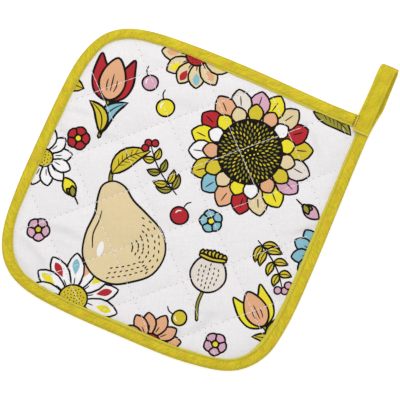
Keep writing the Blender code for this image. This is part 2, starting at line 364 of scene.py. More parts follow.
def crease_marks(x, y):
    """The listed soft wrinkles and the cloth's slight unevenness."""
    marks = UNEVEN * np.sin(x / 13.0 + 1.3 * np.sin(y / 21.0)) * np.sin(y / 11.0 + np.sin(x / 17.0))
    return marks + sum(height * share for height, share in crease_waves(x, y))


def front_painted_shade(x, y):
    """Painted shade in the wrinkles: the share of its colour that the front keeps, a little less in
    their troughs.
    """
    depth = sum(-height * share for height, share in crease_waves(x, y) if height < 0)
    return 1.0 - TROUGH_PAINTED_SHADE * depth


def ease_in(x, y):
    """From 0 where the cloth goes under the tape to 1 out in the middle."""
    share = clamp((past_tape(x, y) - GAP) / EASE_IN, 0.0, 1.0)
    return 1.0 - (1.0 - share) ** 2.2


def front_height(x, y):
    """The front: puffs, seams and wrinkles, which fade out under the tape."""
    top = TAPE_THICK + GAP + EDGE_THICK
    ease = ease_in(x, y)
    body = SEAM_RISE + PUFF * puff_shape(x, y) + seam_marks(x, y)
    return top + ease * body + ease ** 0.4 * crease_marks(x, y)


def back_height(x, y):
    """The underside, whose puffs are pressed softly against the floor."""
    relief = SEAM_SINK + PUFF_BELOW * puff_shape(x, y) + seam_marks(x, y)
    free = TAPE_THICK + GAP - ease_in(x, y) * relief - FLOOR_TOUCH
    return FLOOR_TOUCH + 0.5 * (free + np.sqrt(free ** 2 + FLOOR_BLEND))


def slopes(height, x, y):
    """Unit normals of a height function, pointing up."""
    step = 0.12
    rise_x = (height(x + step, y) - height(x - step, y)) / (2 * step)
    rise_y = (height(x, y + step) - height(x, y - step)) / (2 * step)
    return unit(np.column_stack((-rise_x, -rise_y, np.ones(len(x)))))


# ------------ making meshes

def add_object(name, data):
    made = bpy.data.objects.new(name, data)
    bpy.context.scene.collection.objects.link(made)
    return made


def add_mesh(name, points, faces, finish, node):
    """One smooth object from points in millimetres, riding on the part's body in a node's place."""
    mesh = bpy.data.meshes.new(name)
    mesh.from_pydata((np.asarray(points) * MM).tolist(), [], faces)
    mesh.materials.append(finish)
    mesh.shade_smooth()
    made = add_object(name, mesh)
    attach(made, BODY)
    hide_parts(node)
    return made


def corner_vertices(mesh):
    corners = np.empty(len(mesh.loops), np.int32)
    mesh.loops.foreach_get("vertex_index", corners)
    return corners


def add_uv(mesh, name, per_corner):
    layer = mesh.uv_layers.new(name=name)
    layer.uv.foreach_set("vector", np.asarray(per_corner, np.float32).ravel())


def add_share(mesh, name, per_vertex):
    """A number from 0 to 1 at each vertex, for the material."""
    layer = mesh.attributes.new(name, "FLOAT", "POINT")
    layer.data.foreach_set("value", np.asarray(per_vertex, np.float32))


def skin_rows(rows, count, first=0):
    """Faces round rows of section points that are numbered row by row, with both ends closed."""
    faces = []
    for row in range(rows - 1):
        here = first + row * count
        there = here + count
        for k in range(count):
            after = (k + 1) % count
            faces.append((here + k, here + after, there + after, there + k))
    last = first + (rows - 1) * count
    faces.append(tuple(reversed(range(first, first + count))))
    faces.append(tuple(range(last, last + count)))
    return faces


def add_threads(name, paths, radius, finish, node, sides=6):
    """One mesh of many short threads: paths holds the points of each, all with as many."""
    paths = np.asarray(paths, float)
    count, steps, _ = paths.shape
    ahead = unit(np.gradient(paths, axis=1))
    aside = unit(np.cross(ahead, (0.0, 0.0, 1.0)))
    above = np.cross(aside, ahead)
    slimmer = (0.72 + 0.28 * np.sin(np.pi * np.linspace(0.06, 0.94, steps))) ** 0.8
    girth = radius * slimmer[None, :, None]
    turns = 2 * np.pi * np.arange(sides) / sides
    rings = [paths + girth * (math.cos(a) * aside + math.sin(a) * above) for a in turns]
    points = np.stack(rings, axis=2)
    faces = []
    for number in range(count):
        faces += skin_rows(steps, sides, first=number * steps * sides)
    add_mesh(name, points.reshape(-1, 3), faces, finish, node)


# ------------ materials

LIT = 1.15  # how much light falls on flat cloth, so that the floor shows white
COTTON_THREADS = 2.3  # threads to the millimetre
TAPE_THREADS = 2.6
BIAS = 45  # degrees from the tape's length to its threads


def linear(*seen):
    """The cloth colour that shows as these sRGB values, 0 to 255, in this scene's light."""
    share = np.asarray(seen, float) / 255.0
    return np.where(share <= 0.04045, share / 12.92, ((share + 0.055) / 1.055) ** 2.4) / LIT


def opaque(colour):
    return (*colour, 1.0)


class Finish:
    """Builds one material's nodes, with short calls."""

    def __init__(self, name, roughness, sheen, specular=0.3):
        self.material = bpy.data.materials.new(name)
        self.material.use_nodes = True
        self.tree = self.material.node_tree
        self.shader = self.tree.nodes["Principled BSDF"]
        self.feed(self.shader, {
            "Roughness": roughness,
            "Sheen Weight": sheen,
            "Sheen Roughness": 0.5,
            "Specular IOR Level": specular,
        })

    def feed(self, node, inputs):
        """Sets a node's inputs, by name or number, to values or to other nodes' outputs."""
        for key, value in dict(inputs).items():
            if isinstance(value, bpy.types.NodeSocket):
                self.tree.links.new(value, node.inputs[key])
            else:
                node.inputs[key].default_value = value

    def node(self, kind, inputs=(), output=0, **settings):
        """Adds a node and gives one of its outputs."""
        made = self.tree.nodes.new(kind)
        for key, value in settings.items():
            setattr(made, key, value)
        self.feed(made, inputs)
        return made.outputs[output]

    def attribute(self, name, output="Fac"):
        return self.node("ShaderNodeAttribute", output=output, attribute_name=name)

    def sum(self, operation, *values):
        return self.node("ShaderNodeMath", enumerate(values), operation=operation)

    def vector(self, operation, inputs):
        return self.node("ShaderNodeVectorMath", inputs, operation=operation)

    def millimetres(self):
        """Each point's place on the object."""
        place = self.node("ShaderNodeTexCoord", output="Object")
        return self.vector("SCALE", {0: place, "Scale": 1 / MM})

    def mix(self, factor, one, two, blend="MIX"):
        inputs = {0: factor, 6: one, 7: two}
        return self.node("ShaderNodeMix", inputs, 2, data_type="RGBA", blend_type=blend)

    def dim(self, colour, value, *ranges):
        """The colour times the value's spread."""
        share = self.spread(value, *ranges)
        grey = self.node("ShaderNodeCombineColor", {"Red": share, "Green": share, "Blue": share})
        return self.mix(1.0, colour, grey, "MULTIPLY")

    def placed(self, vector, turn, scale=(1.0, 1.0, 1.0)):
        """The vector turned about Z, and then each of its axes scaled."""
        return self.node("ShaderNodeMapping", {
            "Vector": vector,
            "Rotation": (0.0, 0.0, -math.radians(turn)),
            "Scale": [1.0 / share for share in scale],
        }, vector_type="TEXTURE")

    def noise(self, vector, scale, detail=2.0, roughness=0.5):
        inputs = {"Vector": vector, "Scale": scale, "Detail": detail, "Roughness": roughness}
        return self.node("ShaderNodeTexNoise", inputs)

    def grain(self, vector, turn, scale, detail=2.0, roughness=0.5):
        """Noise that is turned and stretched: a small scale draws it out along that axis."""
        return self.noise(self.placed(vector, turn, scale), 1.0, detail, roughness)

    def spread(self, value, low, high, to_low=0.0, to_high=1.0):
        return self.node("ShaderNodeMapRange", {
            "Value": value, "From Min": low, "From Max": high, "To Min": to_low, "To Max": to_high,
        })

    def weave(self, vector, threads_per_mm):
        """Height of a plain weave: threads of two directions that pass over and under in turn."""
        wander = self.vector("SCALE", {0: self.noise(vector, 0.35, 1.0), "Scale": 0.9})
        moved = self.vector("ADD", {0: vector, 1: wander})
        waves = []
        for axis in ("X", "Y"):
            place = self.node("ShaderNodeSeparateXYZ", {0: moved}, axis)
            waves.append(self.sum("SINE", self.sum("MULTIPLY", place, math.pi * threads_per_mm)))
        return self.sum("MULTIPLY_ADD", self.sum("MULTIPLY", *waves), 0.5, 0.5)

    def finish(self, colour, height, depth):
        """The material with this colour, and a bump of this depth in millimetres."""
        normal = self.node("ShaderNodeBump", {"Distance": depth * MM, "Height": height})
        self.feed(self.shader, {"Base Color": colour, "Normal": normal})
        return self.material


def cotton(name):
    """Cotton cloth that carries the print's colours."""
    finish = Finish(name, roughness=0.88, sheen=0.05, specular=0.2)
    threads = finish.placed(finish.millimetres(), -PRINT_TURN)
    weave = finish.weave(threads, COTTON_THREADS)
    slub_up = finish.grain(threads, 0, (1.3, 0.045, 1.0))
    slub_across = finish.grain(threads, 0, (0.05, 1.6, 1.0))
    slubs = finish.sum("ADD", slub_up, slub_across)
    specks = finish.grain(threads, 0, (0.9, 0.6, 1.0), 2.0, 0.6)
    colour = finish.attribute("ink", "Color")
    colour = finish.dim(colour, slubs, 0.75, 1.25, 0.97, 1.02)
    colour = finish.dim(colour, specks, 0.3, 0.7, 0.965, 1.03)
    # painted shade and light: darker in the weave's hollows, lighter on its crossings
    colour = finish.dim(colour, weave, 0.0, 1.0, 0.957, 1.027)
    return finish.finish(colour, finish.sum("MULTIPLY_ADD", slubs, 0.5, weave), 0.05)


def tape(name, streaky, patch_scale):
    """Yellow bias tape: its threads run slantwise, and the dye is a little patchy."""
    finish = Finish(name, roughness=0.85, sheen=0.04, specular=0.2)
    layer = finish.node("ShaderNodeUVMap", uv_map="tape")
    weave = finish.weave(finish.placed(layer, BIAS), TAPE_THREADS)
    streaks = finish.grain(layer, BIAS, (0.22, 0.85, 1.0), 3.0, 0.65)
    patches = finish.grain(layer, BIAS, patch_scale, 3.0, 0.6)
    wear = finish.grain(layer, 20, (0.10, 0.22, 1.0))
    specks = finish.grain(layer, 0, (1.5, 1.5, 1.0), 1.0)
    olive = finish.spread(streaks, 0.40, 0.60, 0.5 - 0.5 * streaky, 0.5 + 0.5 * streaky)
    orange = finish.spread(patches, 0.48, 0.68, 0.0, 0.40 + 0.3 * streaky)
    colour = finish.mix(olive, opaque(linear(221, 213, 0)), opaque(linear(203, 176, 56)))
    colour = finish.mix(orange, colour, opaque(linear(231, 182, 44)))
    colour = finish.dim(colour, specks, 0.3, 0.7, 0.86, 1.10)
    colour = finish.dim(colour, wear, 0.34, 0.66, 0.91, 1.09)
    # painted highlight: the lip between the tape's inner edge and its sewn row is paler
    painted_highlight = finish.sum("MULTIPLY", finish.attribute("painted_highlight"), 0.8)
    colour = finish.mix(painted_highlight, colour, opaque(linear(214, 202, 72)))
    # painted shade: darker in the sewn rows, towards the folds, along the loop's plies and at its tip
    colour = finish.dim(colour, finish.attribute("painted_shade"), 0.1, 1.0, 1.0, 0.45)
    # painted shade: darker in the weave's hollows
    colour = finish.dim(colour, weave, 0.0, 1.0, 0.86, 1.0)
    return finish.finish(colour, finish.sum("MULTIPLY_ADD", streaks, 0.7, weave), 0.06)


def thread(name, colour):
    """Twisted sewing thread."""
    finish = Finish(name, roughness=0.6, sheen=0.1)
    twist = finish.grain(finish.millimetres(), 38, (7.0, 1.6, 3.0), 1.0)
    shade = finish.spread(twist, 0.3, 0.7)
    tint = finish.mix(shade, opaque(0.90 * colour), opaque(colour))
    return finish.finish(tint, twist, 0.04)


# ------------ drawing the print

INKS = {name: linear(*seen) for name, seen in {
    "cloth": (236, 233, 234),
    # painted light: the cloth beside the tape is lighter than the rest, to lift the shade there
    "painted_light_beside_tape": (246, 243, 240),
    # painted shade: the dark inside each needle hole
    "hole": (150, 143, 146),
    "black": (11, 5, 2),
    "red": (180, 38, 46),
    "yellow": (234, 220, 44),
    "mustard": (210, 189, 47),
    "blue": (134, 187, 202),
    "pink": (214, 166, 188),
    "peach": (226, 170, 130),
    "cream": (225, 205, 161),
    "beige": (227, 218, 208),
    "olive": (150, 144, 50),
    "white": (242, 240, 241),
}.items()}
LINE = 1.4  # width of a drawn outline
LINE_VARIES = 0.16  # share by which it swells and thins
SEED_TURN = 137.508  # degrees from one seed of the big bloom to the next
EYE_TURN = 137.5  # the same in a small flower's eye


def smooth_rows(rows, steps, closed=False):
    """A smooth run through the rows, with this many points from one to the next."""
    rows = np.asarray(rows, float)
    if closed:
        padded = np.vstack((rows[-1:], rows, rows[:2]))
    else:
        padded = np.vstack((2 * rows[0] - rows[1], rows, 2 * rows[-1] - rows[-2]))
    fine = []
    for a, b, c, d in zip(padded, padded[1:], padded[2:], padded[3:]):
        for t in np.linspace(0.0, 1.0, steps, endpoint=False):
            fine.append(0.5 * (2 * b + (c - a) * t + (2 * a - 5 * b + 4 * c - d) * t ** 2
                               + (3 * b - a - 3 * c + d) * t ** 3))
    return np.array(fine if closed else fine + [rows[-1]])


def outward(points, closed=True):
    """Unit normals on the right of the way the line runs: outward on an anticlockwise ring."""
    if closed:
        ahead = np.roll(points, -1, axis=0) - np.roll(points, 1, axis=0)
    else:
        ahead = np.gradient(points, axis=0)
    ahead = ahead / np.maximum(np.linalg.norm(ahead, axis=1), 1e-9)[:, None]
    return np.column_stack((ahead[:, 1], -ahead[:, 0]))


def anticlockwise(ring):
    x, y = ring.T
    area = np.sum(x * np.roll(y, -1) - y * np.roll(x, -1))
    return ring if area > 0 else ring[::-1]


class Art:
    """Filled rings in painter's order, each with its ink."""

    def __init__(self):
        self.shapes = []

    def fill(self, ring, ink):
        self.shapes.append((anticlockwise(np.asarray(ring, float)), ink))

    def drawn(self, ring, ink):
        """A shape with an outline, a little uneven as if inked by hand."""
        ring = anticlockwise(np.asarray(ring, float))
        away = outward(ring)
        phase = np.arange(len(ring)) * 6 * math.pi / len(ring) + len(self.shapes)
        uneven = 0.5 * LINE * (1 + LINE_VARIES * np.sin(phase))
        self.fill(ring + away * uneven[:, None], "black")
        self.fill(ring - away * 0.5 * LINE, ink)

    def blob(self, points, ink, steps=4):
        """A drawn shape with a smooth outline through the points."""
        self.drawn(smooth_rows(points, steps, closed=True), ink)

    def petal(self, angle, ink, *shape):
        self.drawn(turned(petal(*shape), angle), ink)

    def dot(self, x, y, wide, high, degrees=0, ink="black", points=8):
        self.fill(turned(oval(wide, high, points), degrees) + (x, y), ink)

    def stroke(self, points, width=LINE, ink="black", taper=0.5, steps=4):
        """A line through the points. Taper is the share of its width that is left at its ends."""
        line = smooth_rows(points, steps) if steps > 1 else np.asarray(points, float)
        away = outward(line, closed=False)
        share = np.linspace(0.08, 0.98, len(line))
        half = 0.5 * width * (taper + (1 - taper) * np.sqrt(np.sin(np.pi * share)))
        start = line[0] + unit(line[0] - line[1]) * half[0]
        end = line[-1] + unit(line[-1] - line[-2]) * half[-1]
        left = line + away * half[:, None]
        right = line - away * half[:, None]
        self.fill(np.vstack((left, [end], right[::-1], [start])), ink)

    def stalk(self, points, width, inner):
        """A green stalk inside a dark one, which ends a little further down."""
        self.stroke(points, width, taper=0.9)
        x, y = points[-1]
        self.stroke(points[:-1] + [(x, y + 0.7)], inner, "olive", taper=0.9)

    def put(self, other, x, y, degrees=0.0, scale=1.0):
        for ring, ink in other.shapes:
            self.shapes.append((turned(ring, degrees, scale) + (x, y), ink))


def oval(wide, high, points=20):
    angle = np.arange(points) * 2 * math.pi / points
    return np.column_stack((wide * np.cos(angle), high * np.sin(angle)))


def ring_of(there, back):
    """A ring that runs along one side and back along the other, both with the same ends."""
    return np.vstack((there, back[::-1][1:-1]))


def petal(inner, outer, width, tip=1.3, points=9):
    """A petal along X. A larger tip moves its widest place outward."""
    share = 0.5 - 0.5 * np.cos(np.linspace(0.0, np.pi, points))
    half = 0.5 * width * np.maximum(np.sin(np.pi * share ** tip), 0.0) ** 0.75
    half[[0, -1]] = 0.0
    x = inner + (outer - inner) * share
    return ring_of(np.column_stack((x, -half)), np.column_stack((x, half)))


def sunflower(draw):
    """A big bloom with a dark seed head and petals of every colour."""
    art = Art()
    outer = ("mustard", "red", "cream", "yellow", "pink", "beige", "peach", "red", "yellow",
             "white", "mustard", "blue", "peach", "red", "cream", "yellow", "pink", "beige")
    for k, ink in enumerate(outer):
        angle = 360 * k / len(outer) + draw.uniform(-2, 2)
        art.petal(angle, ink, 22, 45.5 + draw.uniform(-1.5, 1.5), 15.4)
        art.stroke(turned([(34, 0.5), (37.5, 0.0), (41, -0.3)], angle), 0.9, taper=0.2)
    for k in range(15):
        ink = ("yellow", "white", "peach", "mustard", "cream")[k % 5]
        angle = 360 * k / 15 + 9 + draw.uniform(-2, 2)
        art.petal(angle, ink, 19, 34 + draw.uniform(-1, 1), 11.4)
    art.drawn(oval(23.4, 23.4, 36), "black")
    for k in range(1, 176):
        far = 1.66 * math.sqrt(k)
        seed = oval(0.62, 0.62, 7) if far < 6.0 else oval(1.35, 0.55, 8)
        ink = "yellow" if far < 6.0 else ("olive", "mustard", "olive")[k % 3]
        art.fill(turned(seed + (far, 0.0), k * SEED_TURN), ink)
    return art


def leaf(length, width, ink, veins=4, bend=0.12):
    """A leaf along X with a midrib and pairs of veins."""
    art = Art()
    share = np.linspace(0.0, 1.0, 10)
    spine = np.column_stack((share * length, bend * length * np.sin(np.pi * share)))
    half = 0.5 * width * np.maximum(np.sin(np.pi * share ** 0.8), 0.0) ** 0.9
    half[[0, -1]] = 0.0
    away = outward(spine, closed=False)
    out = away * half[:, None]
    art.drawn(ring_of(spine + out, spine - out), ink)
    art.stroke(spine[:9], 0.85, taper=0.3, steps=1)
    for k in range(veins):
        root = 2 + int(k * 6 / veins)
        for side in (1, -1):
            tip = spine[min(root + 1, 9)] + side * away[root] * half[root] * 0.62
            middle = (spine[root] + tip) / 2 + (0.2, 0.0)
            art.stroke([spine[root], middle, tip], 0.6, taper=0.3, steps=1)
    return art


def pear(draw):
    """A large ripe pear, shaded with rows of dashes."""
    art = Art()
    art.stroke([(0, 29), (1.5, 36), (5, 42.5)], 3.4, "black", taper=0.7)
    art.stroke([(0.2, 31), (1.6, 36), (4.6, 41.2)], 1.5, "olive", taper=0.7)
    outline = [(0, -36), (15, -34), (26, -23), (27.5, -8), (20, 6), (13, 17), (9.5, 27), (3, 32.5),
               (-5, 31.5), (-10, 24), (-14, 14), (-23, 2), (-28, -12), (-24, -26), (-13, -34.5)]
    art.blob(outline, "cream")
    for row in range(6):
        for k in range(9 - row):
            angle = -62 + k * 13.5 + row * 5
            far = 24.5 - row * 3.7
            x = far * math.cos(math.radians(angle)) + draw.uniform(-0.5, 0.5)
            y = -12 + far * 0.92 * math.sin(math.radians(angle)) + draw.uniform(-0.5, 0.5)
            art.dot(x, y, 1.25, 0.5, angle + 90 + draw.uniform(-9, 9))
    for row in range(3):
        for k in range(8 - row):
            x = -15 + k * 3.9 + row * 2
            y = -31.2 + row * 3.1 + abs(x + 1) * 0.09
            art.dot(x, y, 1.15, 0.48, draw.uniform(-14, 14))
    art.stroke([(-20.5, -8), (-18, 1), (-12.5, 8.5), (-9, 15)], 1.0, taper=0.3)
    art.dot(-15.5, -10, 5.2, 2.1, 62, "white", 14)
    art.put(leaf(30, 12.5, "mustard", 5, 0.14), 2.5, 37.5, 18)
    return art


def tulip(cup, leaf_ink, middle="peach"):
    """A half open flower from the side, with two leaves at its foot."""
    art = Art()
    art.stalk([(0, -1), (1.2, -12), (0, -25)], 3.0, 1.2)
    art.put(leaf(25, 8.5, leaf_ink, 0, 0.2), 0.5, -23, 62)
    art.put(leaf(20, 7.5, "mustard", 0, -0.2), 0, -22, 122)
    right = [(0, -2), (9, 1), (12.5, 9), (12, 18), (10.5, 25), (6, 19), (0, 12)]
    left = [(0, -2), (-9, 1), (-12.5, 9), (-12, 18), (-10, 25), (-6, 19), (0, 12)]
    front = [(0, -2), (5.5, 1.5), (8, 9), (5.5, 18), (0.3, 24), (-5.5, 18), (-8, 9), (-5.5, 1.5)]
    for ring, ink in ((right, cup), (left, cup), (front, middle)):
        art.blob(ring, ink)
    for x, top in ((-3, 10.5), (0, 14), (3, 10.5)):
        art.stroke([(x * 0.7, 3.5), (x, top * 0.6 + 1), (x * 0.9, top)], 0.8, taper=0.25)
    return art


def daisy(draw, petals, reach, ink, eye, drops=()):
    """A flat open flower. With drops, each petal carries a coloured drop."""
    art = Art()
    for k in range(petals):
        angle = 360 * k / petals + draw.uniform(-3, 3)
        width = 2 * math.pi * reach / petals * 0.86
        art.petal(angle, ink, 4.5, reach + draw.uniform(-1, 1), width, 1.25)
        if drops:
            mark = petal(0.52 * reach, 0.88 * reach, 0.42 * width, 1.3)
            dash = [(0.30 * reach, 0.4), (0.38 * reach, 0.1), (0.46 * reach, 0.0)]
            art.fill(turned(mark, angle), drops[k % len(drops)])
            art.stroke(turned(dash, angle), 0.9, taper=0.3)
        else:
            art.stroke(turned([(8.5, 0.5), (11, 0.2), (13.2, 0.1)], angle), 0.8, taper=0.3)
    eye_size = 0.32 * reach
    art.drawn(oval(eye_size, 0.95 * eye_size, 22), eye)
    for k in range(int(eye_size ** 2 / 2.6)):
        art.fill(turned(oval(0.5, 0.5, 6) + (1.3 * math.sqrt(k + 0.4), 0.0), k * EYE_TURN), "black")
    return art


def blossom(ink, eye):
    """A small flower of five petals."""
    art = Art()
    for k in range(5):
        art.petal(72 * k + 18, ink, 1.2, 8.5, 8.2, 1.45)
    art.drawn(oval(2.5, 2.5, 12), eye)
    return art


def berry(ink, size=6.6):
    """A round berry with a stem and a highlight."""
    art = Art()
    art.stroke([(0, size * 0.8), (0.8, size + 3.5), (3.2, size + 6)], 1.1, taper=0.5)
    art.drawn(oval(size, size * 0.95, 22), ink)
    art.stroke([(-size * 0.5, size * 0.1), (-size * 0.38, size * 0.42), (-size * 0.05, size * 0.6)],
               0.9, "white", taper=0.3)
    return art


def bud(ink):
    """A closed flower along X, between two small green leaves."""
    art = Art()
    art.stroke([(-8.5, 0.4), (-4.5, 0), (0, 0)], 1.3, taper=0.6)
    art.drawn(petal(-1.5, 13, 9.5, 0.85), ink)
    for turn in (24, -24):
        art.petal(turn, "olive", -2.5, 5.5, 4.6, 1.0)
    return art


def sprig(ink, berries, pairs=4, length=44):
    """A stem along X with pairs of leaves, and three berries at its end."""
    art = Art()
    share = np.linspace(0.0, 1.0, 9)
    stem = np.column_stack((share * length, 5 * np.sin(share * 2.4)))
    for k in range(pairs):
        x, y = stem[1 + int(k * 7 / pairs)]
        for side in (1, -1):
            tone = ink if (k + side) % 2 else "mustard"
            art.put(leaf(13.5 - 1.2 * k, 5.6, tone, 0, 0.1 * side), x, y, side * 52 + 6)
    art.stroke(stem[::2], 1.25, taper=0.6)
    for offset in ((3.2, 1.0), (0.5, 5.0), (0.8, -3.8)):
        art.drawn(oval(2.9, 2.9, 12) + stem[-1] + offset, berries)
    return art


def seed_pod(ink):
    """A dried seed pod with a crown, on a stem."""
    art = Art()
    art.stalk([(0, -10), (-1.5, -22), (1, -33)], 2.8, 1.1)
    husk = [(0, -13), (8, -10), (12.5, -2), (10, 7), (4.5, 11),
            (-4.5, 11), (-10, 7), (-12.5, -2), (-8, -10)]
    art.blob(husk, ink)
    for k in range(7):
        crown = turned(petal(0, 5.4, 3.6, 1.2), 90)
        art.drawn(crown + ((k - 3) * 2.6, 11.2 - abs(k - 3) * 0.45), "mustard")
    art.blob([(-9, 10.2), (0, 8.9), (9, 10.2), (8, 12.4), (0, 11.4), (-8, 12.4)], "mustard", 3)
    for x, bottom, top in ((-7, -6, 5), (-3.6, -9, 6.5), (0, -10, 7), (3.6, -9, 6.5), (7, -6, 5)):
        for y in np.arange(bottom, top, 3.3):
            art.dot(x * (1 - 0.03 * abs(y)), y, 0.46, 1.15)
    return art


def printed_design():
    """The whole print, in its own axes: X to the right and Y up from the pad's middle."""
    draw = random.Random(5)
    art = Art()
    mixed = ("red", "yellow", "peach", "blue")
    art.put(daisy(draw, 14, 33, "white", "mustard", mixed), -76, -72, 10)
    art.put(daisy(draw, 11, 25, "cream", "red", mixed[::-1]), 14, 104, 8)
    art.put(pear(draw), -42, -22, 12, 1.08)
    art.put(sunflower(draw), 52, 34)
    art.put(tulip("red", "blue"), -50, 74, -14, 1.2)
    art.put(seed_pod("beige"), 22, -54, -16, 1.05)
    art.put(daisy(draw, 12, 21, "white", "mustard"), -97, 30, 8)
    art.put(daisy(draw, 11, 21, "blue", "yellow"), 103, -40, 20)
    art.put(daisy(draw, 12, 22, "peach", "red"), -20, -104)
    art.put(tulip("yellow", "mustard"), 61, -90, 26, 1.05)
    art.put(sprig("olive", "red"), -1, 3, 113, 0.9)
    art.put(sprig("mustard", "pink", 4, 40), 58, -30, -68, 0.95)
    art.put(leaf(32, 13, "olive", 5), 98, 63, -32)
    art.put(leaf(27, 11, "mustard", 5), -68, 80, 140)
    art.put(berry("yellow"), -9, 66, 14)
    art.put(berry("red"), 1, -12, -28)
    art.put(berry("pink", 5.8), -20, 84, 20)
    art.put(bud("pink"), 92, -6, -40)
    art.put(bud("yellow"), -76, 4, 118)
    art.put(blossom("blue", "yellow"), 24, -16, 10)
    art.put(blossom("pink", "yellow"), 27, -105, 30)
    art.put(blossom("red", "yellow"), -72, 44, 50)
    art.put(blossom("pink", "mustard"), -101, -22, 40)
    art.put(berry("mustard", 5.6), 1, -86, 60)
    return art


# ------------ quilting stitches, front and back

STITCHES_EACH_WAY = 40  # more than reach the edge
STITCH_CLEAR = 0.9  # how far from the tape the last stitch stays
STITCH_SLIP = 0.12  # how far a needle hole strays from its line
# Along one quilting stitch: shares of its length, and its height there in thread radii.
QUILTING_SHARES = np.array((0.0, 0.07, 0.2, 0.5, 0.8, 0.93, 1.0))
QUILTING_LIFT = np.array((-0.775, -0.15, 0.375, 0.525, 0.375, -0.15, -0.775)) * THREAD


def stitch_places():
    """Both ends of every quilting stitch that shows, on the flat."""
    draw = random.Random(11)
    found = []
    for distance, across, along in seams():
        middle = across * distance
        for k in range(-STITCHES_EACH_WAY, STITCHES_EACH_WAY):
            slip = draw.uniform(-STITCH_SLIP, STITCH_SLIP)
            start = middle + along * (k * STITCH + STITCH_GAP * 0.5) + across * slip
            end = middle + along * ((k + 1) * STITCH - STITCH_GAP * 0.5) - across * slip
            found.append((*start, *end))
    found = np.array(found)
    clear = [past_tape(*ends.T) > STITCH_CLEAR for ends in (found[:, :2], found[:, 2:])]
    return found[clear[0] & clear[1]]


def stitch_paths(places, height, side):
    """The centre line of each stitch: out of one hole, flat along the cloth, into the next."""
    starts, ends = places[:, None, :2], places[:, None, 2:]
    flat = starts + (ends - starts) * QUILTING_SHARES[None, :, None]
    ground = height(*flat.reshape(-1, 2).T).reshape(flat.shape[:2])
    low = ground.min(axis=1, keepdims=True)
    middle = low + 0.35 * (ground - low)
    path = np.concatenate((flat, (middle + side * QUILTING_LIFT)[:, :, None]), axis=2)
    path[:, :, 2] = np.maximum(path[:, :, 2], THREAD)
    return path


# ------------ the pad's two faces

EDGE_STEPS = 420  # points round the cloth's edge
UNDER_TAPE = 0.5  # how far the cloth's edge stays from the inside of the binding's fold
MID_HEIGHT = TAPE_THICK + GAP + 0.5 * EDGE_THICK
MID_APART = 0.02  # how far from the mid height each face is closed
BAKE_SPAN = 222.0  # the front's own map covers this many millimetres
BAKE_BELOW = 108.5  # of which this many lie below the pad's middle
BAKE_TIERS = (0.976, 0.986, 0.998)  # rows at the top of the map for the edge, the rim and the hub


def net_points(boundary, drawn):
    """Loose points of the cloth's net: rows along the seams and a grid between them."""
    taken = point_tree(np.vstack((boundary, drawn)))
    ticks = np.arange(-SEAM_TICKS, SEAM_TICKS + 1) * STITCH / 4
    spare = []
    for distance, across, along in seams():
        for row in SEAM_ROWS:
            spare.append(across * (distance + row) + ticks[:, None] * along)
    ticks = np.arange(-GRID_REACH, GRID_REACH, GRID)
    grid_x, grid_y = np.meshgrid(ticks, ticks)
    grid_x[::2] += 0.5 * GRID
    grid = np.column_stack((grid_x.ravel(), grid_y.ravel()))
    off = np.min([np.abs(nearest_seam(family, *grid.T)[1]) for family in QUILTING], axis=0)
    spare.append(grid[off > SEAM_ROWS[-1] + 0.5 * GRID])
    spare = np.vstack(spare)
    spare = spare[inside_ring(boundary, spare)]
    return spare[nearest(taken, spare)[1] > NET_CLEAR]


def cut_cloth(boundary, shapes):
    """The flat net cut along every drawn line: points, triangles, and each triangle's ink."""
    rings = [ring for ring, _ in shapes]
    points = np.vstack([boundary, *rings, net_points(boundary, np.vstack(rings))])
    edges = []
    first = 0
    for ring in [boundary] + rings:
        edges += [(first + k, first + (k + 1) % len(ring)) for k in range(len(ring))]
        first += len(ring)
    coords, _, faces, _, _, _ = delaunay_2d_cdt([Vector(p) for p in points], edges, [], 0, 1e-5)
    flat = np.array([(c.x, c.y) for c in coords])
    faces = np.array(faces)
    centres = flat[faces].mean(axis=1)
    kept = inside_ring(boundary, centres)
    faces, centres = faces[kept], centres[kept]
    # faces in no shape, the strip beside the tape, get the painted light
    inks = np.tile(INKS["painted_light_beside_tape"], (len(faces), 1))
    for ring, ink in shapes:
        near = np.flatnonzero(((centres > ring.min(axis=0)) & (centres < ring.max(axis=0))).all(axis=1))
        inks[near[inside_ring(ring, centres[near])]] = INKS[ink]
    used, faces = np.unique(faces, return_inverse=True)
    return flat[used], faces.reshape(-1, 3), inks


def rim_of(faces):
    """The open edge of a net of triangles, in order."""
    sides = np.concatenate([faces[:, [0, 1]], faces[:, [1, 2]], faces[:, [2, 0]]])
    known = set(map(tuple, sides.tolist()))
    after = {a: b for a, b in known if (b, a) not in known}
    ring = [next(iter(after))]
    while after[ring[-1]] != ring[0]:
        ring.append(after[ring[-1]])
    return ring


def closing_faces(ring, base, hub):
    """Triangles from the open edge to the rim's points and from them to the hub."""
    closing = []
    for k, here in enumerate(ring):
        after = (k + 1) % len(ring)
        closing.append((here, base + k, base + after))
        closing.append((here, base + after, ring[after]))
        closing.append((base + k, hub, base + after))
    return closing


def bake_places(points, corners, base, hub, open_corners):
    """Each corner's place in the map: the cloth from above, and the hidden faces in rows over it."""
    x, y = points[corners, :2].T
    place = np.column_stack((x + 0.5 * BAKE_SPAN, y + BAKE_BELOW)) / BAKE_SPAN
    turn = np.arctan2(y, x) / (2 * np.pi) + 0.5
    tier = np.select([corners < base, corners < hub], BAKE_TIERS[:2], BAKE_TIERS[2])
    place[open_corners:] = np.column_stack((turn, tier))[open_corners:]
    return place


